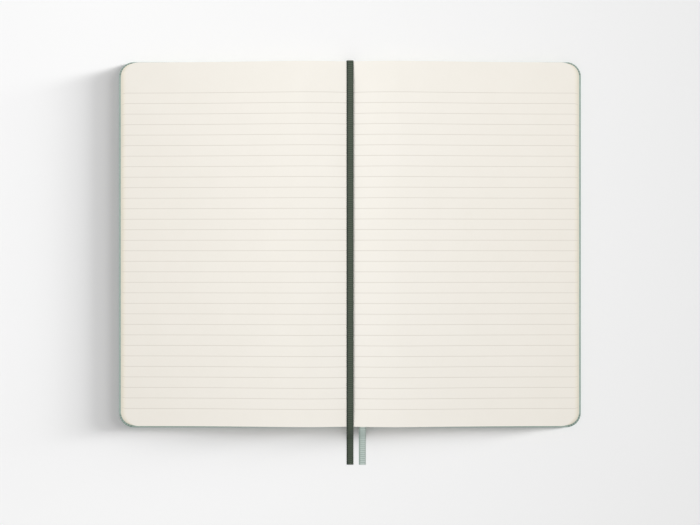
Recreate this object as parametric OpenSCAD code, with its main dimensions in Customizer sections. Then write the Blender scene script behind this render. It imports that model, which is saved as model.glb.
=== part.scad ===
// Case-bound ruled notebook lying open at its middle, face up, with two ribbon markers.
// X runs across the spread, Y from tail to head, Z up; the origin is under the gutter, on the table.

/* [Case] */
// Height of the covers, from tail to head
cover_h = 210; // [140:1:300]
// Reach of each cover from the gutter to its fore-edge
cover_reach = 132.75; // [100:0.25:220]
// Thickness of a cover board with its wrapping
cover_t = 2; // [1.6:0.1:3.5]
// Radius of the covers' outer corners
cover_corner_r = 8.5; // [4:0.5:20]
// Rounding of the wrapped cover edges
cover_edge_r = 0.7; // [0.3:0.1:0.75]
// Width of the flexible spine strip between the two covers
spine_w = 11.4; // [10:0.2:24]
// Thickness of the spine strip
spine_t = 1.4; // [0.8:0.1:1.4]
// Gap of the bending groove on each side of the spine strip
groove_gap = 0.3; // [0.2:0.1:0.8]

/* [Leaves] */
// Margin of cover that shows past the leaves at head and tail
square_margin = 1.15; // [0.5:0.05:4]
// How far the leaves sit towards the head of the case
head_shift = 0.25; // [0:0.05:0.4]
// Margin of cover that shows past the lowest leaf at the fore-edge
fore_margin = 1.2; // [0.6:0.1:5]
// Radius of the leaves' outer corners
leaf_corner_r = 7.5; // [3:0.5:18]
// Thickness of one half of the leaves, pressed together at the fore-edge
stack_t = 3.7; // [2.5:0.1:8]
// How far the top leaf's edge stands back from the lowest leaf's edge
fan_depth = 3.1; // [2:0.1:8]
// Number of bundles in which the fanned leaves step back
bundles = 10; // [4:1:14]
// Rise of the arched leaves over the fore-edge, at their crest
arch_rise = 4.7; // [2:0.1:9]
// Drop of the top leaf from the crest down to the gutter
gutter_drop = 2.6; // [0.5:0.1:4]
// Distance of the crest from the gutter
crest_x = 26; // [18:1:40]
// Half of the gap between the two halves of the leaves at the gutter
gutter_gap = 0.15; // [0.1:0.05:0.4]

/* [Endpapers and lining] */
// Thickness of the sheet pasted inside each cover
endpaper_t = 0.25; // [0.15:0.05:0.5]
// Thickness of the cloth lining glued on the back of the leaves
lining_t = 0.45; // [0.3:0.05:0.5]

/* [Ribbons] */
// Width of each ribbon
ribbon_w = 4; // [3:0.25:7]
// Thickness of each ribbon
ribbon_t = 0.3; // [0.2:0.05:0.35]
// Play between a ribbon and the leaves that it lies on or between
ribbon_clear = 0.15; // [0.1:0.05:0.2]
// Place of the second ribbon, right of the gutter
second_x = 7.1; // [6:0.1:20]
// Height at which the second ribbon parts the leaves
second_z = 6; // [5:0.25:7]

/* [Hidden] */

$fn = 48;
edge_fn = 24;

cover_green = "#9fb0a8";
lining_white = "#e4dfd2";
paper_cream = "#f1ece0";
endpaper_cream = "#e9e4d6";
ribbon_dark = "#4f5a4f";
ribbon_pale = "#aabfb4";

board_x = spine_w / 2 + groove_gap;
leaf_floor = cover_t + endpaper_t;
stack_top = leaf_floor + stack_t;
low_edge_x = cover_reach - fore_margin;
top_edge_x = low_edge_x - fan_depth;
leaf_head = cover_h / 2 - square_margin + head_shift;
leaf_tail = -cover_h / 2 + square_margin + head_shift;
lining_w = 2 * stack_t + 0.6;
endpaper_x = lining_w / 2 + groove_gap;
fall_bend = 0.66;
dip_bend = 0.8;
arch_steps = 44;
ledge = cover_corner_r + leaf_corner_r;

// Height of the top leaf at a distance x from the gutter: a dip at the gutter, a crest, a long fall
function fall(x) = pow(min(1, (x - crest_x) / (top_edge_x - crest_x)), fall_bend);
function leaf_z(x) = x < crest_x
    ? stack_top + arch_rise - gutter_drop * (1 - sin(90 * pow(x / crest_x, dip_bend)))
    : stack_top + arch_rise * (1 + cos(180 * fall(x))) / 2;

// Height of the leaf at a share of the stack, at a distance x from the gutter
function leaf_at(x, share) = leaf_floor + share * (leaf_z(x) - leaf_floor);

// Points along the top of a bundle, closer together at the gutter than at the fore-edge
function spread(i, from_x, to_x) = from_x + (to_x - from_x) * pow(i / arch_steps, 1.5);
function bundle_top(share, from_x, to_x) =
    [for (i = [0 : arch_steps]) let (x = spread(i, from_x, to_x)) [x, leaf_at(x, share)]];

// How far a ribbon that falls over the tail edge stands out from the leaves, and its share of its height
tail_fall = [[-1, 1], [0.8, 0.98], [2.2, 0.89], [3.4, 0.74], [4.8, 0.5], [6.2, 0.28], [7.8, 0.11],
    [9.8, 0.02], [12.4, 0], [23.1, 0]];

// The same for the ribbon that comes from under the lining, up over the head edge and into the gutter
head_turn = [[-12.4, 0], [-0.5, 0], [0.3, 0.04], [0.6, 0.13], [0.6, 0.8], [0.4, 0.93], [-0.2, 0.99], [-1.4, 1]];

// Shares of the leaves' height at which a ribbon's straight run is held
run_shares = [0.9, 0.7, 0.5, 0.3, 0.1];

// Routes of both ribbons, as y and z, from the end at the head to the free end on the table
glued_z = spine_t + ribbon_t / 2 + 0.05;
table_z = ribbon_t / 2 + 0.05;
gutter_z = leaf_z(ribbon_w / 2) + ribbon_clear + ribbon_t / 2;
second_start = 5.4;
function run(z) = [for (share = run_shares) [leaf_tail + share * (leaf_head - leaf_tail), z]];
function falling(z) = [for (p = tail_fall) [leaf_tail - p[0], table_z + p[1] * (z - table_z)]];
gutter_route = concat(
    [for (p = head_turn) [leaf_head + p[0], glued_z + p[1] * (gutter_z - glued_z)]],
    run(gutter_z), falling(gutter_z));
second_route = concat([[leaf_head - second_start, second_z]], run(second_z), falling(second_z));

// Outline of a flat strip that follows a route: the route moved out to one side, then back along the other
function along(route, i) =
    let (a = route[max(i - 1, 0)], b = route[min(i + 1, len(route) - 1)]) (b - a) / norm(b - a);
function aside(route, i, d) = route[i] + d * [-along(route, i)[1], along(route, i)[0]];
function strip_outline(route, t) = concat(
    [for (i = [0 : len(route) - 1]) aside(route, i, t / 2)],
    [for (i = [len(route) - 1 : -1 : 0]) aside(route, i, -t / 2)]);

// Half outline of a board's edge: flat inside, rounded at its far end
module rounded_end(reach, t, r) {
    square([reach - r, t]);
    translate([reach - 2 * r, r]) square([2 * r, t - 2 * r]);
    for (z = [r, t - r]) translate([reach - r, z]) circle(r, $fn = edge_fn);
}

// Board with rounded edges on three sides and round outer corners, reaching from in_x to out_x
module board(in_x, out_x, h, t, corner, r) {
    rotate([90, 0, 0])
        translate([in_x, 0, corner - h / 2])
        linear_extrude(h - 2 * corner)
        rounded_end(out_x - in_x, t, r);
    for (side = [0, 1]) mirror([0, side, 0]) {
        translate([in_x, h / 2 - corner, 0])
            rotate([90, 0, 90])
            linear_extrude(out_x - corner - in_x)
            rounded_end(corner, t, r);
        translate([out_x - corner, h / 2 - corner, 0])
            rotate_extrude(angle = 90)
            rounded_end(corner, t, r);
    }
}

// Plan of a sheet: square at the gutter, with round corners at the fore-edge
module sheet_plan(in_x, out_x, tail, head, r) {
    translate([in_x, tail]) square([out_x - r - in_x, head - tail]);
    translate([in_x, tail + r]) square([out_x - in_x, head - tail - 2 * r]);
    for (y = [tail + r, head - r]) translate([out_x - r, y]) circle(r);
}

// One bundle of leaves up to its share of the stack, in the plan of its own fore-edge
module bundle(share, in_x) {
    edge_x = low_edge_x - fan_depth * share;
    intersection() {
        translate([0, leaf_head + 1, 0]) rotate([90, 0, 0]) linear_extrude(leaf_head - leaf_tail + 2)
            polygon(concat([[edge_x + 1, leaf_floor], [in_x, leaf_floor]],
                bundle_top(share, in_x, edge_x), [[edge_x + 1, leaf_at(edge_x, share)]]));
        linear_extrude(stack_top + arch_rise + 1)
            sheet_plan(gutter_gap, edge_x, leaf_tail, leaf_head, leaf_corner_r);
    }
}

// One half of the leaves: the arched stack, with its fore-edge stepping back bundle by bundle
module half_leaves() {
    bundle(1, gutter_gap);
    for (k = [1 : bundles - 1]) bundle(k / bundles, low_edge_x - ledge);
}

module ribbon(route, x) {
    translate([x - ribbon_w / 2, 0, 0])
        rotate([90, 0, 90])
        linear_extrude(ribbon_w)
        polygon(strip_outline(route, ribbon_t));
}

module back_cover() {
    color(cover_green) board(board_x, cover_reach, cover_h, cover_t, cover_corner_r, cover_edge_r);
}

module front_cover() {
    color(cover_green) mirror([1, 0, 0])
        board(board_x, cover_reach, cover_h, cover_t, cover_corner_r, cover_edge_r);
}

// Flexible strip that joins the covers, rounded at its two ends
module cover_spine() {
    color(cover_green) translate([-spine_w / 2, 0, 0]) rotate([90, 0, 90]) linear_extrude(spine_w)
        for (side = [0, 1]) mirror([side, 0])
            rounded_end(cover_h / 2, spine_t, min(cover_edge_r, spine_t / 2 - 0.05));
}

// Sheet pasted on the inside of a cover, reaching over the groove to the lining
module endpaper() {
    translate([0, 0, cover_t]) linear_extrude(endpaper_t)
        sheet_plan(endpaper_x, low_edge_x, leaf_tail, leaf_head, leaf_corner_r);
}

module back_endpaper() {
    color(endpaper_cream) endpaper();
}

module front_endpaper() {
    color(endpaper_cream) mirror([1, 0, 0]) endpaper();
}

// The right half is parted by a narrow slot, in which the second ribbon lies
module right_leaves() {
    color(paper_cream) difference() {
        half_leaves();
        translate([second_x - ribbon_w / 2 - ribbon_clear, leaf_tail - 1,
            second_z - ribbon_t / 2 - ribbon_clear])
            cube([ribbon_w + 2 * ribbon_clear, leaf_head - second_start - leaf_tail + 1 + ribbon_clear,
                ribbon_t + 2 * ribbon_clear]);
    }
}

module left_leaves() {
    color(paper_cream) mirror([1, 0, 0]) half_leaves();
}

// Cloth glued along the back of the leaves, with the ribbon's glued end under it
module spine_lining() {
    color(lining_white) translate([-lining_w / 2, leaf_tail + 1, leaf_floor - lining_t])
        cube([lining_w, leaf_head - leaf_tail - 2, lining_t]);
}

module gutter_ribbon() {
    color(ribbon_dark) ribbon(gutter_route, 0);
}

module second_ribbon() {
    color(ribbon_pale) ribbon(second_route, second_x);
}

back_cover();
front_cover();
cover_spine();
back_endpaper();
front_endpaper();
right_leaves();
left_leaves();
spine_lining();
gutter_ribbon();
second_ribbon();
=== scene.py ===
import math
import random

import bmesh
import bpy
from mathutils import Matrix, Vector
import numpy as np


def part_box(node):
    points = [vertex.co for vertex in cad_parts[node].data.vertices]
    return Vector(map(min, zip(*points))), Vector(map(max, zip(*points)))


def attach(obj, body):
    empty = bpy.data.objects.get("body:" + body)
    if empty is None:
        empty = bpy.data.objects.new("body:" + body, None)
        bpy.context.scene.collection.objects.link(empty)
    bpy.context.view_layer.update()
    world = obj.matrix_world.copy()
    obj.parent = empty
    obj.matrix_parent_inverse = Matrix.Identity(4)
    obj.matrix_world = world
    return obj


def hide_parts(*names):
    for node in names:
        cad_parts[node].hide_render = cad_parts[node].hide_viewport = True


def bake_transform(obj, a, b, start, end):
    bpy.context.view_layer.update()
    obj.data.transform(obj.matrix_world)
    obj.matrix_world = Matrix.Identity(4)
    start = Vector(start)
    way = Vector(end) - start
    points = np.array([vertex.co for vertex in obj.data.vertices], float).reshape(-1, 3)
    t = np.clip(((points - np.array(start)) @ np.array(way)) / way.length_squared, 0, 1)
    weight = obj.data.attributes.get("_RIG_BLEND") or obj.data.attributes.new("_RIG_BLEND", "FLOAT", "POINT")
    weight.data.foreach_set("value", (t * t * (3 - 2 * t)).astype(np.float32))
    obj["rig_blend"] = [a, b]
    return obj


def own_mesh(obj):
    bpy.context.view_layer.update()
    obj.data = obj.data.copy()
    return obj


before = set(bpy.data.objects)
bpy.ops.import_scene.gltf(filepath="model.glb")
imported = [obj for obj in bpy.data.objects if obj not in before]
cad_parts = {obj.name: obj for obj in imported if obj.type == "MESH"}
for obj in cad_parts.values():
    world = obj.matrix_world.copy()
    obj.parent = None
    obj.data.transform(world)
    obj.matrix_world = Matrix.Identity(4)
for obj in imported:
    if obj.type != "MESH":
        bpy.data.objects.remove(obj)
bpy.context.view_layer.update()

# Camera: it hangs over the notebook and looks straight down, a little towards the tail.
# Its height gives the ruled lines the slight curve that the arched pages show.
camera_height = 0.6
camera_y = -0.0102
camera_lens = 53.53
sensor_width = 36
camera_data = bpy.data.cameras.new("camera")
camera_data.lens = camera_lens
camera_data.sensor_width = sensor_width
camera_data.sensor_fit = "HORIZONTAL"
camera = bpy.data.objects.new("camera", camera_data)
camera.location = (0, camera_y, camera_height)
bpy.context.scene.collection.objects.link(camera)
bpy.context.scene.camera = camera


# The gutter ribbon: 4 mm of ribbed rayon marker ribbon, dark green, glued under the lining at the
# head, turned up over the head edge, laid along the gutter and let fall over the tail to the table.
# It is woven with a cord weft, which gives the cross ribs and the slightly scalloped selvedges.
ribbon_width = 0.004
ribbon_thick = 0.0003
rib_pitch = 0.00118
rib_rise = 0.00004
selvedge_scallop = 0.00006
rings_a_rib = 6
ribbon_columns = 6
warp_pitch = 0.00025
selvedge_thin = 0.45
roll_fade = 0.012
off_table_z = 0.003
lying_gap = 0.00005
strip_thick = 0.0014
gutter_rise = 0.00005
gutter_roll = 0.0003
second_start = 0.0054

leaf_low, leaf_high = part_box("right_leaves")
gutter_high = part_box("gutter_ribbon")[1]
second_low, second_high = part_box("second_ribbon")
tail_y = leaf_low.y
head_y = leaf_high.y
table_z = ribbon_thick / 2 + lying_gap
glued_z = strip_thick + ribbon_thick / 2 + lying_gap
gutter_z = gutter_high.z - ribbon_thick / 2 + gutter_rise
second_z = second_high.z - ribbon_thick / 2
second_x = (second_low.x + second_high.x) / 2

# Each fall and turn is a list of (way out past the edge, share of the height)
tail_fall = [
    (-0.001, 1), (0.0008, 0.98), (0.0022, 0.89), (0.0034, 0.74), (0.0048, 0.5), (0.0062, 0.28),
    (0.0078, 0.11), (0.0098, 0.02), (0.0124, 0), (0.0231, 0),
]
head_turn = [
    (-0.0124, 0), (-0.0005, 0), (0.0003, 0.04), (0.0006, 0.13), (0.0006, 0.8), (0.0004, 0.93),
    (-0.0002, 0.99), (-0.0014, 1),
]
run_shares = [0.9, 0.7, 0.5, 0.3, 0.1]


def run(x, z):
    """The part of a route that lies on the leaves."""
    return [(x, tail_y + share * (head_y - tail_y), z) for share in run_shares]


def falling(x, z):
    """The part of a route from the tail edge down to the table."""
    return [(x, tail_y - out, table_z + share * (z - table_z)) for out, share in tail_fall]


gutter_route = [(0, head_y + out, glued_z + share * (gutter_z - glued_z)) for out, share in head_turn]
gutter_route += run(0, gutter_z) + falling(0, gutter_z)
second_route = [(second_x, head_y - second_start, second_z)]
second_route += run(second_x, second_z) + falling(second_x, second_z)


def colour(text):
    """An sRGB hex colour as linear values."""
    parts = [int(text[i:i + 2], 16) / 255 for i in (1, 3, 5)]
    return [c / 12.92 if c <= 0.04045 else ((c + 0.055) / 1.055) ** 2.4 for c in parts] + [1]


def node(tree, kind, links=(), **settings):
    """A shader node with its settings. Each link is (input name or number, value or output socket)."""
    made = tree.nodes.new("ShaderNode" + kind)
    for name, value in settings.items():
        setattr(made, name, value)
    for where, value in links:
        if isinstance(value, bpy.types.NodeSocket):
            tree.links.new(value, made.inputs[where])
        else:
            made.inputs[where].default_value = value
    return made


def material(name):
    """A new material with its node tree and Principled shader."""
    made = bpy.data.materials.new(name)
    made.use_nodes = True
    return made, made.node_tree, made.node_tree.nodes["Principled BSDF"]


def ramp(tree, value, stops):
    """A colour ramp over a value; stops are (place, hex colour)."""
    made = node(tree, "ValToRGB", [(0, value)])
    for i, (place, text) in enumerate(stops):
        stop = made.color_ramp.elements[i] if i < 2 else made.color_ramp.elements.new(place)
        stop.position = place
        stop.color = colour(text)
    return made.outputs["Color"]


def piece(name, bm, finish, smooth=False):
    """An object from a bmesh, with its faces turned outwards and its material."""
    bmesh.ops.recalc_face_normals(bm, faces=bm.faces)
    mesh = bpy.data.meshes.new(name)
    bm.to_mesh(mesh)
    bm.free()
    mesh.materials.append(finish)
    made = bpy.data.objects.new(name, mesh)
    bpy.context.scene.collection.objects.link(made)
    for polygon in mesh.polygons:
        polygon.use_smooth = smooth
    return made


def smooth_route(points, step):
    """Points a step apart along a smooth curve through the route's points, and its length."""
    places = [Vector(p) for p in points]
    steps_a_span = 40
    fine = []
    for i in range(len(places) - 1):
        a = places[max(i - 1, 0)]
        b = places[i]
        c = places[i + 1]
        d = places[min(i + 2, len(places) - 1)]
        reach = (c - b).length
        out_b = (c - a).normalized() * reach
        out_c = (d - b).normalized() * reach
        for k in range(steps_a_span):
            t = k / steps_a_span
            fine.append(
                b * (2 * t**3 - 3 * t**2 + 1) + out_b * (t**3 - 2 * t**2 + t)
                + c * (3 * t**2 - 2 * t**3) + out_c * (t**3 - t**2)
            )
    fine.append(places[-1])
    long = [0.0]
    for a, b in zip(fine, fine[1:]):
        long.append(long[-1] + (b - a).length)
    count = round(long[-1] / step)
    line = []
    j = 0
    for i in range(count + 1):
        want = long[-1] * i / count
        while j < len(long) - 2 and long[j + 1] < want:
            j += 1
        line.append(fine[j].lerp(fine[j + 1], (want - long[j]) / max(long[j + 1] - long[j], 1e-9)))
    return line, long[-1]


def ribbon_weave(name, weft, groove_shade, selvedge):
    """Ribbed rayon ribbon: each weft cord stands up as a rib, with painted light on its crest and painted
    shade between ribs.
    """
    made, tree, shader = material(name)
    place = node(tree, "Attribute", attribute_name="weave").outputs["Vector"]
    axes = node(tree, "SeparateXYZ", [(0, place)])
    across = axes.outputs["X"]
    down = axes.outputs["Y"]
    turns = node(tree, "Math", [(0, down), (1, math.tau / rib_pitch)], operation="MULTIPLY")
    rib = node(tree, "Math", [(0, turns.outputs[0])], operation="COSINE").outputs[0]
    crest = node(tree, "MapRange", [(0, rib), (1, -1.0), (2, 1.0), (3, 0.0), (4, 1.0)]).outputs[0]
    # The warp threads are 0.12 mm apart, too fine to show, so they are drawn 0.25 mm apart
    warp_turns = node(tree, "Math", [(0, across), (1, math.tau / warp_pitch)], operation="MULTIPLY")
    warp = node(tree, "Math", [(0, warp_turns.outputs[0])], operation="COSINE").outputs[0]
    cells = node(tree, "CombineXYZ", [(0, across), (1, down)])
    uneven = node(
        tree, "TexNoise", [("Vector", cells.outputs[0]), ("Scale", 900.0), ("Detail", 3.0)]
    ).outputs["Fac"]
    # The colour is painted lighter on each rib's crest and darker between the ribs: painted light and
    # painted shade
    mixed = node(tree, "Math", [(0, crest), (1, 0.7)], operation="MULTIPLY")
    mixed = node(tree, "Math", [(0, uneven), (1, 0.45), (2, mixed.outputs[0])], operation="MULTIPLY_ADD")
    base = ramp(tree, mixed.outputs[0], [(0.1, groove_shade), (0.9, weft)])
    # The selvedges are drawn darker, over a wider band at the left one than at the right
    edge = node(tree, "Math", [(0, across), (1, ribbon_width * 0.07)], operation="SUBTRACT")
    edge = node(tree, "Math", [(0, edge.outputs[0])], operation="ABSOLUTE").outputs[0]
    edge = node(
        tree, "MapRange", [(0, edge), (1, ribbon_width * 0.3), (2, ribbon_width * 0.43), (3, 0.0), (4, 0.9)]
    ).outputs[0]
    tint = node(tree, "Mix", data_type="RGBA")
    tree.links.new(edge, tint.inputs[0])
    tree.links.new(base, tint.inputs[6])
    tint.inputs[7].default_value = colour(selvedge)
    tree.links.new(tint.outputs[2], shader.inputs["Base Color"])
    raised = node(tree, "Math", [(0, warp), (1, 0.25), (2, rib)], operation="MULTIPLY_ADD")
    bump = node(
        tree, "Bump", [("Strength", 0.5), ("Distance", 0.00005), ("Height", raised.outputs[0])]
    )
    tree.links.new(bump.outputs[0], shader.inputs["Normal"])
    shader.inputs["Roughness"].default_value = 0.55
    shader.inputs["Specular IOR Level"].default_value = 0.3
    return made


def ribbon(name, route, finish, roll):
    """A flat strip laid along its route. Its ribs stand up, its selvedges are scalloped, and the
    roll lifts its right edge where it lies on the leaves."""
    line, length = smooth_route(route, rib_pitch / rings_a_rib)
    last = len(line) - 1
    bm = bmesh.new()
    weave = bm.verts.layers.float_vector.new("weave")
    through = bm.verts.layers.float_vector.new("through")
    bmesh.ops.create_grid(bm, x_segments=ribbon_columns, y_segments=last, size=0.5)
    for v in bm.verts:
        share = 2 * v.co.x
        i = round((v.co.y + 0.5) * last)
        middle = line[i]
        up = Vector((1, 0, 0)).cross(line[min(i + 1, last)] - line[max(i - 1, 0)]).normalized()
        valley = (1 - math.cos(math.tau * i / rings_a_rib)) / 2
        wide = ribbon_width / 2 - selvedge_scallop * valley
        thick = (ribbon_thick / 2 - rib_rise * valley) * (selvedge_thin if abs(share) > 0.99 else 1)
        v[weave] = (share * ribbon_width / 2, i * rib_pitch / rings_a_rib, 0)
        v[through] = -2 * thick * up
        inside = max(0, min(1, (middle.y - tail_y) / roll_fade, (head_y - middle.y) / roll_fade))
        lift = roll * inside * (share + 1) if middle.z > off_table_z else 0
        v.co = middle + Vector((share * wide, 0, lift)) + thick * up
    grown = bmesh.ops.extrude_face_region(bm, geom=bm.faces[:], use_keep_orig=True)
    for v in grown["geom"]:
        if isinstance(v, bmesh.types.BMVert):
            v.co += v[through]
    made = piece(name, bm, finish, smooth=True)
    return made, [tuple(p) for p in line], length


dark_weave = ribbon_weave("ribbed rayon ribbon, dark green", "#495444", "#2C372E", "#1A251D")
gutter_ribbon, gutter_line, gutter_length = ribbon("gutter_marker", gutter_route, dark_weave, gutter_roll)
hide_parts("gutter_ribbon")
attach(gutter_ribbon, "back")

# The second ribbon: the same weave in pale sage. It lies between the right-hand leaves, 7 mm from
# the gutter, comes out at the tail and falls to the table beside the first.
pale_weave = ribbon_weave("ribbed rayon ribbon, pale sage", "#C3CFC9", "#9BABA4", "#95A69D")
second_ribbon, second_line, second_length = ribbon("leaf_marker", second_route, pale_weave, 0)
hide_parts("second_ribbon")
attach(second_ribbon, "back")

# Each ribbon is given a mesh of its own. Its height at rest and its height pressed flat at about
# the height of the leaves' fore-edge are listed with it but not used.
floor_z = leaf_low.z
stack_thick = 0.0037
stack_top = floor_z + stack_thick
stack_lift = 0.0006
flat_top = stack_top - stack_lift
pressed_in = 0.0001
for strip, rest_z, pressed_z in (
    (gutter_ribbon, gutter_z + gutter_roll, stack_top - pressed_in),
    (second_ribbon, second_z, flat_top + lying_gap),
):
    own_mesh(strip)


# The two covers: greyboard wrapped in sage green book cloth, turned in over the edges. The cloth
# is a fine plain weave with a matte coating, gathered in small pleats round each outer corner.
board_low, board_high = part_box("back_cover")
board_corner_r = 0.0085
threads_a_metre = 2000.0
pleats_a_corner = 8
pleated = (board_high.x - board_corner_r, board_high.y - board_corner_r, 0.0)
turned_in = (board_high.z * 0.4, board_high.z * 0.7)


def book_cloth(name):
    """Coated book cloth: a fine plain weave that shows as a soft grain, with painted shade in the creases
    where it is gathered.
    """
    made, tree, shader = material(name)
    place = node(tree, "TexCoord").outputs["Object"]
    # The real threads are 0.25 mm apart; they are drawn 0.5 mm apart so that they show
    threads = node(tree, "Mapping", [(0, place), ("Scale", [threads_a_metre] * 3)]).outputs[0]
    axes = node(tree, "SeparateXYZ", [(0, threads)])
    warp_angle = node(tree, "Math", [(0, axes.outputs["X"]), (1, math.tau)], operation="MULTIPLY")
    weft_angle = node(tree, "Math", [(0, axes.outputs["Y"]), (1, math.tau)], operation="MULTIPLY")
    warp = node(tree, "Math", [(0, warp_angle.outputs[0])], operation="SINE")
    weft = node(tree, "Math", [(0, weft_angle.outputs[0])], operation="SINE")
    woven = node(tree, "Math", [(0, warp.outputs[0]), (1, weft.outputs[0])], operation="MULTIPLY")
    slubs = node(
        tree, "TexNoise", [("Vector", place), ("Scale", 700.0), ("Detail", 5.0), ("Roughness", 0.65)]
    ).outputs["Fac"]
    clouds = node(
        tree, "TexNoise", [("Vector", place), ("Scale", 45.0), ("Detail", 3.0)]
    ).outputs["Fac"]
    mixed = node(tree, "Math", [(0, slubs), (1, 0.6), (2, 0.16)], operation="MULTIPLY_ADD")
    mixed = node(tree, "Math", [(0, clouds), (1, 0.18), (2, mixed.outputs[0])], operation="MULTIPLY_ADD")
    base = ramp(tree, mixed.outputs[0], [(0.3, "#8FA39B"), (0.75, "#ABBDB5")])
    # The pleats run out from the centre of each rounded corner and show on the turned-in side alone
    past = node(tree, "VectorMath", [(0, place)], operation="ABSOLUTE").outputs[0]
    past = node(tree, "VectorMath", [(0, past), (1, pleated)], operation="SUBTRACT").outputs[0]
    past = node(tree, "SeparateXYZ", [(0, past)]).outputs
    nearer = node(tree, "Math", [(0, past["X"]), (1, past["Y"])], operation="MINIMUM").outputs[0]
    round_corner = node(tree, "MapRange", [(0, nearer), (1, 0.0), (2, 0.001)]).outputs[0]
    inner = node(tree, "MapRange", [(0, past["Z"]), (1, turned_in[0]), (2, turned_in[1])]).outputs[0]
    angle = node(tree, "Math", [(0, past["Y"]), (1, past["X"])], operation="ARCTAN2")
    angle = node(tree, "Math", [(0, angle.outputs[0]), (1, 4.0 * pleats_a_corner)], operation="MULTIPLY")
    fold = node(tree, "Math", [(0, angle.outputs[0])], operation="COSINE").outputs[0]
    fold = node(tree, "MapRange", [(0, fold), (1, -1.0), (2, 1.0), (3, 0.1), (4, 1.0)]).outputs[0]
    fold = node(tree, "Math", [(0, fold), (1, round_corner)], operation="MULTIPLY").outputs[0]
    fold = node(tree, "Math", [(0, fold), (1, inner)], operation="MULTIPLY").outputs[0]
    # The pleat creases are painted darker: painted shade where the cloth is gathered round the corners
    pleat_shade = node(tree, "Mix", data_type="RGBA")
    tree.links.new(fold, pleat_shade.inputs[0])
    tree.links.new(base, pleat_shade.inputs[6])
    pleat_shade.inputs[7].default_value = colour("#76887E")
    tree.links.new(pleat_shade.outputs[2], shader.inputs["Base Color"])
    height = node(tree, "Math", [(0, woven.outputs[0]), (1, 0.35), (2, slubs)], operation="MULTIPLY_ADD")
    height = node(tree, "Math", [(0, fold), (1, -1.0), (2, height.outputs[0])], operation="MULTIPLY_ADD")
    bump = node(
        tree, "Bump", [("Strength", 0.55), ("Distance", 0.00008), ("Height", height.outputs[0])]
    )
    tree.links.new(bump.outputs[0], shader.inputs["Normal"])
    shader.inputs["Roughness"].default_value = 0.72
    shader.inputs["Specular IOR Level"].default_value = 0.35
    return made


cloth = book_cloth("coated book cloth, sage")
for cover in ("back_cover", "front_cover"):
    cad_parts[cover].data.materials.clear()
    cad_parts[cover].data.materials.append(cloth)

# The spine strip: the same cloth over a flexible liner, thin at its two bending grooves, where it
# runs on under the boards. It bends round the leaves as the book closes.
strip_low, strip_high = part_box("cover_spine")
groove_floor = 0.0005
groove_top = 0.001
groove_half = 0.0004
groove_slope = 0.00025
groove_lip = 0.0003
under_board = 0.0006
strip_round = 0.0005
strip_half = strip_high.x - groove_half
profile = [
    (strip_half, 0.0), (strip_half + groove_slope, groove_floor), (board_low.x, groove_floor),
    (board_low.x + under_board, groove_floor), (board_low.x + under_board, groove_top),
    (board_low.x, groove_top), (strip_half + groove_lip, groove_top), (strip_half, strip_high.z),
]
bm = bmesh.new()
columns = 24
bottom = [(strip_half * (2 * i / columns - 1), 0.0) for i in range(columns + 1)]
top = [(x, strip_high.z) for x, _ in reversed(bottom)]
left = [(-x, z) for x, z in reversed(profile[1:-1])]
outline = bottom + profile[1:-1] + top + left
ends = (strip_low.y + strip_round, strip_high.y - strip_round)
start_ring = [bm.verts.new((x, ends[0], z)) for x, z in outline]
strip_face = bm.faces.new(start_ring)
grown = bmesh.ops.extrude_face_region(bm, geom=[strip_face], use_keep_orig=True)
moved = [v for v in grown["geom"] if isinstance(v, bmesh.types.BMVert)]
bmesh.ops.translate(bm, verts=moved, vec=(0, ends[1] - ends[0], 0))
cover_strip = piece("spine_cloth", bm, cloth)
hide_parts("cover_spine")
bend_margin = 0.0002
bend_end = board_low.x - bend_margin
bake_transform(cover_strip, "back", "front", start=(bend_end, 0, 0), end=(-bend_end, 0, 0))

# The leaves: cream uncoated writing paper, sewn and glued at the spine, with rounded outer corners.
# The lower leaves of each half lie flat on the cover; the upper ones arch up from the gutter, and
# each leaf's fore-edge stands a little back from the one below.
low_edge = leaf_high.x
fan_depth = 0.0031
corner_r = 0.0075
gutter_gap = leaf_low.x
crest_x = 0.026
gutter_drop = 0.0026
fall_bend = 0.66
dip_bend = 0.8
top_edge = low_edge - fan_depth
crest_z = leaf_high.z
flat_sheets = 14
arched_sheets = 16
leaves_a_sheet = 2.7
flat_columns = 20
arched_columns = 64
top_rows = 24
column_crowding = 1.5
flat_fill = 0.9
arched_fill = 0.93
trim = 0.0001
flat_scatter = 0.00012
flat_shift = 0.0001
arched_scatter = 0.00008
left_start = 0.01
right_start = 0.005
slot_floor = 0.038
slot_roof = 0.125
page_wave = 0.00008
wave_rate = (71, 38)
wave_fade = 0.02
page_reach = 0.132
line_first = 0.0865
line_pitch = 0.006
line_count = 31
line_width = 0.00025


def leaf_height(x):
    """Height of the top leaf at a distance x from the gutter."""
    if x < crest_x:
        return crest_z - gutter_drop * (1 - math.sin(math.pi / 2 * (x / crest_x) ** dip_bend))
    fall = min(1, (x - crest_x) / (top_edge - crest_x)) ** fall_bend
    return stack_top + (crest_z - stack_top) * (1 + math.cos(math.pi * fall)) / 2


def multiply(tree, one, other):
    """One colour multiplied by another."""
    made = node(tree, "Mix", [(0, 1.0), (6, one), (7, other)], data_type="RGBA", blend_type="MULTIPLY")
    return made.outputs[2]


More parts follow.
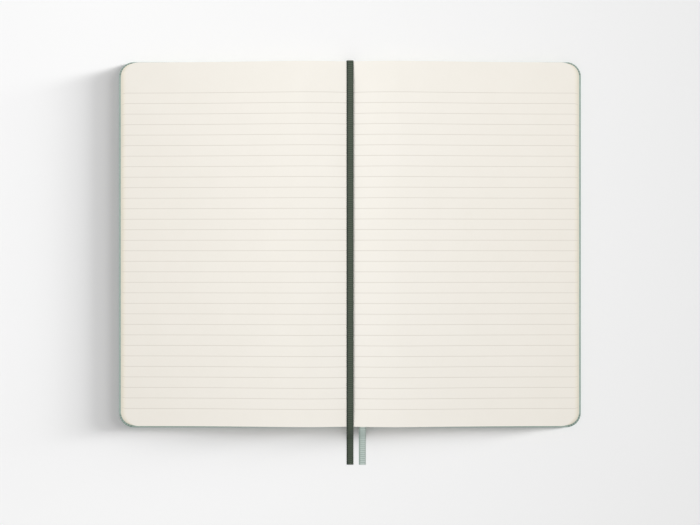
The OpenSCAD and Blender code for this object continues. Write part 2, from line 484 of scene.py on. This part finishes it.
def writing_paper(name, tone, ruled_sheet):
    """Uncoated writing paper: cream, with faint fibres and a light tooth, drawn a little darker away
    from the gutter as painted shade, with painted shade on the cut edges of the lower leaves, and ruled in
    pale grey ink where it is a ruled sheet."""
    made, tree, shader = material(name)
    place = node(tree, "TexCoord").outputs["Object"]
    fibres = node(
        tree, "TexNoise", [("Vector", place), ("Scale", 1500.0), ("Detail", 6.0), ("Roughness", 0.7)]
    ).outputs["Fac"]
    cloudy = node(
        tree, "TexNoise", [("Vector", place), ("Scale", 60.0), ("Detail", 4.0), ("Roughness", 0.6)]
    ).outputs["Fac"]
    mixed = node(tree, "Math", [(0, fibres), (1, 0.5)], operation="MULTIPLY")
    mixed = node(tree, "Math", [(0, cloudy), (1, 0.5), (2, mixed.outputs[0])], operation="MULTIPLY_ADD")
    sheet = ramp(tree, mixed.outputs[0], [(0.25, tone[0]), (0.75, tone[1])])
    axes = node(tree, "SeparateXYZ", [(0, place)])
    # Painted shade: the paper is drawn a little darker the farther it lies from the gutter
    out = node(tree, "Math", [(0, axes.outputs["X"])], operation="ABSOLUTE").outputs[0]
    outer_shade = ramp(
        tree, node(tree, "Math", [(0, out), (1, page_reach)], operation="DIVIDE").outputs[0],
        [(0.0, "#FFFFFF"), (1.0, "#FAF9F8")],
    )
    sheet = multiply(tree, sheet, outer_shade)
    if not ruled_sheet:
        tree.links.new(sheet, shader.inputs["Base Color"])
        shader.inputs["Roughness"].default_value = 0.9
        shader.inputs["Specular IOR Level"].default_value = 0.2
        return made
    # Each sheet's tone darkens it: painted shade on the cut edges of the lower leaves, with a little random
    # tone
    tone_and_shade_level = node(tree, "Attribute", attribute_name="leaf_tone_and_shade").outputs["Fac"]
    edge_tone_and_shade = ramp(
        tree, tone_and_shade_level,
        [(0.0, "#F0F0EA"), (1.0, "#FFFFFF"), (0.2, "#F7F6F2"), (0.5, "#FBFBF9")],
    )
    sheet = multiply(tree, sheet, edge_tone_and_shade)
    # The walls of the stack show the edges of the single leaves, some greyer than others
    up = node(tree, "SeparateXYZ", [(0, node(tree, "TexCoord").outputs["Normal"])]).outputs["Z"]
    up = node(tree, "Math", [(0, up)], operation="ABSOLUTE").outputs[0]
    wall = node(tree, "MapRange", [(0, up), (1, 0.6), (2, 0.3), (3, 0.0), (4, 1.0)]).outputs[0]
    count = node(tree, "Attribute", attribute_name="leaf_count").outputs["Fac"]
    along = node(tree, "Mapping", [(0, place), ("Scale", (40.0, 40.0, 0.0))]).outputs[0]
    leaves = node(
        tree, "TexNoise", [("Vector", along), ("W", count), ("Scale", 1.0), ("Detail", 2.0)],
        noise_dimensions="4D",
    ).outputs["Fac"]
    leaf_edges = node(tree, "Mix", data_type="RGBA", blend_type="MULTIPLY")
    tree.links.new(wall, leaf_edges.inputs[0])
    tree.links.new(sheet, leaf_edges.inputs[6])
    tree.links.new(ramp(tree, leaves, [(0.32, "#C9C2B3"), (0.55, "#FFFFFF")]), leaf_edges.inputs[7])
    sheet = leaf_edges.outputs[2]
    down = axes.outputs["Y"]
    rows = node(tree, "Math", [(0, down), (1, line_first)], operation="SUBTRACT")
    rows = node(tree, "Math", [(0, rows.outputs[0]), (1, line_pitch)], operation="DIVIDE").outputs[0]
    nearest = node(tree, "Math", [(0, rows)], operation="ROUND")
    off = node(tree, "Math", [(0, rows), (1, nearest.outputs[0])], operation="SUBTRACT")
    off = node(tree, "Math", [(0, off.outputs[0])], operation="ABSOLUTE")
    half = line_width / line_pitch / 2
    ink = node(
        tree, "MapRange", [(0, off.outputs[0]), (1, half * 0.8), (2, half * 1.2), (3, 1.0), (4, 0.0)]
    )
    middle_row = -(line_count - 1) / 2
    ruled = node(
        tree, "Math", [(0, rows), (1, middle_row), (2, line_count / 2)], operation="COMPARE"
    )
    ink = node(tree, "Math", [(0, ink.outputs[0]), (1, ruled.outputs[0])], operation="MULTIPLY")
    tint = node(tree, "Mix", data_type="RGBA")
    tree.links.new(ink.outputs[0], tint.inputs[0])
    tree.links.new(sheet, tint.inputs[6])
    tint.inputs[7].default_value = colour("#D9D3C9")
    tree.links.new(tint.outputs[2], shader.inputs["Base Color"])
    bump = node(tree, "Bump", [("Strength", 0.12), ("Distance", 0.00003), ("Height", fibres)])
    tree.links.new(bump.outputs[0], shader.inputs["Normal"])
    shader.inputs["Roughness"].default_value = 0.9
    shader.inputs["Specular IOR Level"].default_value = 0.2
    return made


paper = writing_paper("uncoated cream paper, ruled", ("#F5F1E8", "#F9F5ED"), True)


def add_sheet(bm, side, edge, ends, columns, rows, top_at, bottom_at, tone, count):
    """One closed sheet: a grid bent to its height, with round outer corners and a wall all round."""
    tail, head = ends
    layers = bm.verts.layers.float
    tone_and_shade_layer = layers.get("leaf_tone_and_shade") or layers.new("leaf_tone_and_shade")
    counted = layers.get("leaf_count") or layers.new("leaf_count")
    corner_columns = 10
    inner = columns - corner_columns
    grid = bmesh.ops.create_grid(bm, x_segments=columns, y_segments=rows, size=0.5)
    for v in grid["verts"]:
        i = round((v.co.x + 0.5) * columns)
        share = v.co.y + 0.5
        if i <= inner:
            x = gutter_gap + (edge - corner_r - gutter_gap) * (i / inner) ** column_crowding
            cut = 0
        else:
            turn = math.pi / 2 * (i - inner) / corner_columns
            x = edge - corner_r + corner_r * math.sin(turn)
            cut = corner_r * (1 - math.cos(turn))
        y = tail + cut + share * (head - tail - 2 * cut)
        v[tone_and_shade_layer] = tone
        v[counted] = leaves_a_sheet * count
        v.co = (side * x, y, bottom_at(x, y))
    faces = list({f for v in grid["verts"] for f in v.link_faces})
    grown = bmesh.ops.extrude_face_region(bm, geom=faces, use_keep_orig=True)
    for v in grown["geom"]:
        if isinstance(v, bmesh.types.BMVert):
            v.co.z = top_at(abs(v.co.x), v.co.y)
            v[counted] += leaves_a_sheet


def flat(z):
    """A sheet's height where it lies flat."""
    return lambda x, y: z


def arched(share, wave=0):
    """A leaf's height at its share of the arch, with a slight wave in the top leaf."""
    def height(x, y):
        dip = 1 - math.sin(x * wave_rate[0] + 0.6) * math.sin(y * wave_rate[1] + 1.1)
        return flat_top + share * (leaf_height(x) - flat_top) - wave * dip * min(1, x / wave_fade)
    return height


for body, side, node_name in (("back", 1, "right_leaves"), ("front", -1, "left_leaves")):
    dice = random.Random(7 if side > 0 else 11)
    bm = bmesh.new()
    for k in range(flat_sheets):
        low = floor_z + (flat_top - floor_z) * k / flat_sheets
        high = floor_z + (flat_top - floor_z) * (k + flat_fill) / flat_sheets
        share = (high - floor_z) / (stack_top - floor_z)
        edge = low_edge - fan_depth * share + dice.uniform(-flat_scatter, flat_scatter)
        shift = dice.uniform(-flat_shift, flat_shift)
        # Lower sheets are drawn greyer, painted shade on the fan of leaf edges, with a little random tone;
        # every fourth sheet is greyer still, painted shade between the edges
        tone = max(0, 0.9 * share + dice.uniform(-0.1, 0.1) - (0.2 if k % 4 == 3 else 0))
        ends = (tail_y + trim + shift, head_y - trim + shift)
        add_sheet(bm, side, edge, ends, flat_columns, 1, flat(high), flat(low), tone, k)
    stack = piece(body + "_flat_leaves", bm, paper)
    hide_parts(node_name)
    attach(stack, body)

    bm = bmesh.new()
    for k in range(arched_sheets):
        # The right-hand leaves part above the lowest one, where the second ribbon lies
        parted = (slot_roof if k else right_start) if side > 0 else left_start
        low = parted + (1 - parted) * k / arched_sheets
        high = parted + (1 - parted) * (k + arched_fill) / arched_sheets if k < arched_sheets - 1 else 1
        if side > 0 and k == 0:
            high = slot_floor
        below_top = stack_lift / (stack_top - floor_z) * (1 - (k + 1) / arched_sheets)
        edge = low_edge - fan_depth * (1 - below_top)
        edge += dice.uniform(-arched_scatter, arched_scatter) if k < arched_sheets - 1 else 0
        shift = dice.uniform(-arched_scatter, arched_scatter)
        ends = (tail_y + trim + shift, head_y - trim + shift)
        top_leaf = k == arched_sheets - 1
        # The leaves under the top one are drawn greyer as painted shade, with a little random tone, and
        # every fourth is greyer still
        tone = 1 if top_leaf else 0.85 + dice.uniform(-0.15, 0.1) - (0.3 if k % 4 == 1 else 0)
        rows = top_rows if top_leaf else 1
        surface = arched(high, page_wave if top_leaf else 0)
        count = k + flat_sheets
        add_sheet(bm, side, edge, ends, arched_columns, rows, surface, arched(low), tone, count)
    arch = piece(body + "_arched_leaves", bm, paper)
    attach(arch, body)
    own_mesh(arch)

# The endpapers: one sheet of the same paper without ruling, pasted down inside each cover over the
# turned-in edges of the cloth.
endpaper = writing_paper("uncoated cream endpaper", ("#E6E0D2", "#EBE6D9"), False)
for name in ("back_endpaper", "front_endpaper"):
    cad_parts[name].data.materials.clear()
    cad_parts[name].data.materials.append(endpaper)

# The spine lining: open cotton gauze set in glue along the back of the leaves. It holds them
# together and lies hidden in the case.
gauze, tree, shader = material("cotton gauze in glue")
place = node(tree, "TexCoord").outputs["Object"]
mesh_threads = node(
    tree, "TexBrick", [("Vector", place), ("Scale", 900.0), ("Color1", colour("#EAE5D8")),
                       ("Color2", colour("#DED8C8")), ("Mortar", colour("#C9C0A8"))],
)
tree.links.new(mesh_threads.outputs["Color"], shader.inputs["Base Color"])
shader.inputs["Roughness"].default_value = 0.8
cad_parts["spine_lining"].data.materials.clear()
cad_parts["spine_lining"].data.materials.append(gauze)

# The table and its light: a pale floor with a painted pool of light, a soft lamp with a soft sun on each
# side for the pages, a sun from below for the case, and three low soft suns one above the other, like a
# tall window on the right, that light the floor alone and draw the notebook's shadow on it.
floor_size = 40
floor_gap = 0.00005
floor_fade = 0.4
floor_squeeze = 0.7
brightest = (-0.143, 0.14)
room_light = 0.48
room_seen = 0.82
soft_disc = math.radians(16)
bm = bmesh.new()
bmesh.ops.create_grid(bm, x_segments=1, y_segments=1, size=floor_size / 2)
bmesh.ops.translate(bm, verts=bm.verts, vec=(0, 0, -floor_gap))
floor_with_light_pool, tree, shader = material("matte floor with painted light pool")
# The floor's colour is painted lightest round a point at the upper left and darker outwards: a painted pool
# of light
place = node(tree, "TexCoord").outputs["Object"]
moved = (-brightest[0], -brightest[1] * floor_squeeze, 0.0)
squeezed = (1.0, floor_squeeze, 0.0)
out = node(tree, "Mapping", [(0, place), ("Location", moved), ("Scale", squeezed)]).outputs[0]
away = node(tree, "VectorMath", [(0, out)], operation="LENGTH").outputs["Value"]
away = node(tree, "MapRange", [(0, away), (1, 0.0), (2, floor_fade), (3, 0.0), (4, 1.0)]).outputs[0]
painted_light_pool = ramp(tree, away, [(0.0, "#FCFCFC"), (1.0, "#EAEAEA"), (0.36, "#F9F9F9"), (0.57, "#F5F5F5")])
tree.links.new(painted_light_pool, shader.inputs["Base Color"])
shader.inputs["Roughness"].default_value = 0.9
shader.inputs["Specular IOR Level"].default_value = 0.1
# Seen from below the floor is clear, so that the underside of the covers shows
beneath = node(tree, "NewGeometry").outputs["Backfacing"]
clear = node(tree, "BsdfTransparent").outputs[0]
one_sided = node(tree, "MixShader", [(0, beneath), (1, shader.outputs[0]), (2, clear)])
tree.links.new(one_sided.outputs[0], tree.nodes["Material Output"].inputs["Surface"])
floor = piece("floor", bm, floor_with_light_pool)

world = bpy.data.worlds.new("studio")
world.use_nodes = True
tree = world.node_tree
rays = node(tree, "LightPath").outputs
seen = node(tree, "Math", [(0, rays["Is Camera Ray"]), (1, rays["Is Glossy Ray"])])
seen = node(tree, "Math", [(0, seen.outputs[0]), (1, rays["Is Transmission Ray"])])
strength = node(tree, "MapRange", [(0, seen.outputs[0]), (3, room_light), (4, room_seen)])
tree.nodes["Background"].inputs["Color"].default_value = (1, 1, 1, 1)
tree.links.new(strength.outputs[0], tree.nodes["Background"].inputs["Strength"])
bpy.context.scene.world = world


def lamp(name, kind, place, target, energy, **settings):
    """A lamp at a place that shines at a target."""
    data = bpy.data.lights.new(name, kind)
    data.energy = energy
    for key, value in settings.items():
        setattr(data, key, value)
    made = bpy.data.objects.new(name, data)
    made.location = place
    made.rotation_euler = (Vector(target) - Vector(place)).to_track_quat("-Z", "Y").to_euler()
    bpy.context.scene.collection.objects.link(made)
    return made


over = lamp("over_lamp", "AREA", (0, 0.125, 0.45), (0, 0.125, 0), 0.4, shape="DISK", size=0.2)
left_sun = lamp("left_sun", "SUN", (-1, 0.35, 1.15), (0, 0, 0), 0.96, angle=soft_disc)
right_sun = lamp("right_sun", "SUN", (1, -0.35, 1.15), (0, 0, 0), 0.43, angle=soft_disc)


def linked(name, objects, state):
    """A collection that limits a lamp to these objects, or keeps it off them."""
    made = bpy.data.collections.new(name)
    for item in objects:
        made.objects.link(item)
    for item in made.collection_objects:
        item.light_linking.link_state = state
    return made


all_but_floor = linked("lit_by_page_lamps", [floor], "EXCLUDE")
over.light_linking.receiver_collection = all_but_floor
left_sun.light_linking.receiver_collection = all_but_floor
# The case stops both suns for the pages and the ribbons stop the left one; the leaves stop neither
case = [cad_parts["back_cover"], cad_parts["front_cover"], cover_strip]
left_sun.light_linking.blocker_collection = linked(
    "shadowed_by_case_and_ribbons", case + [gutter_ribbon, second_ribbon], "INCLUDE"
)
right_sun.light_linking.receiver_collection = all_but_floor
right_sun.light_linking.blocker_collection = linked("shadowed_by_case", case, "INCLUDE")
under_sun = lamp("under_sun", "SUN", (0, 0, -1), (0, 0, 0), 1.7, angle=soft_disc)
under_sun.light_linking.receiver_collection = linked("lit_from_below", case, "INCLUDE")
under_sun.light_linking.blocker_collection = linked("shadowed_from_below", case, "INCLUDE")
floor_only = linked("lit_by_low_suns", [floor], "INCLUDE")
all_but_ribbons = linked("shadowed_by_all_but_ribbons", [gutter_ribbon, second_ribbon], "EXCLUDE")
# Each low sun has its bearing and height in degrees, its strength and the width of its disc
low_suns = [(12, 5, 3.24, 10), (12, 12, 4.0, 12), (14, 26, 1.11, 18)]
for bearing, height, energy, spread in low_suns:
    turn = math.radians(bearing)
    rise = math.radians(height)
    place = (math.cos(turn) * math.cos(rise), math.sin(turn) * math.cos(rise), math.sin(rise))
    low_sun = lamp("low_sun", "SUN", place, (0, 0, 0), energy, angle=math.radians(spread))
    low_sun.light_linking.receiver_collection = floor_only
    low_sun.light_linking.blocker_collection = all_but_ribbons

bpy.context.scene.view_settings.view_transform = "Standard"
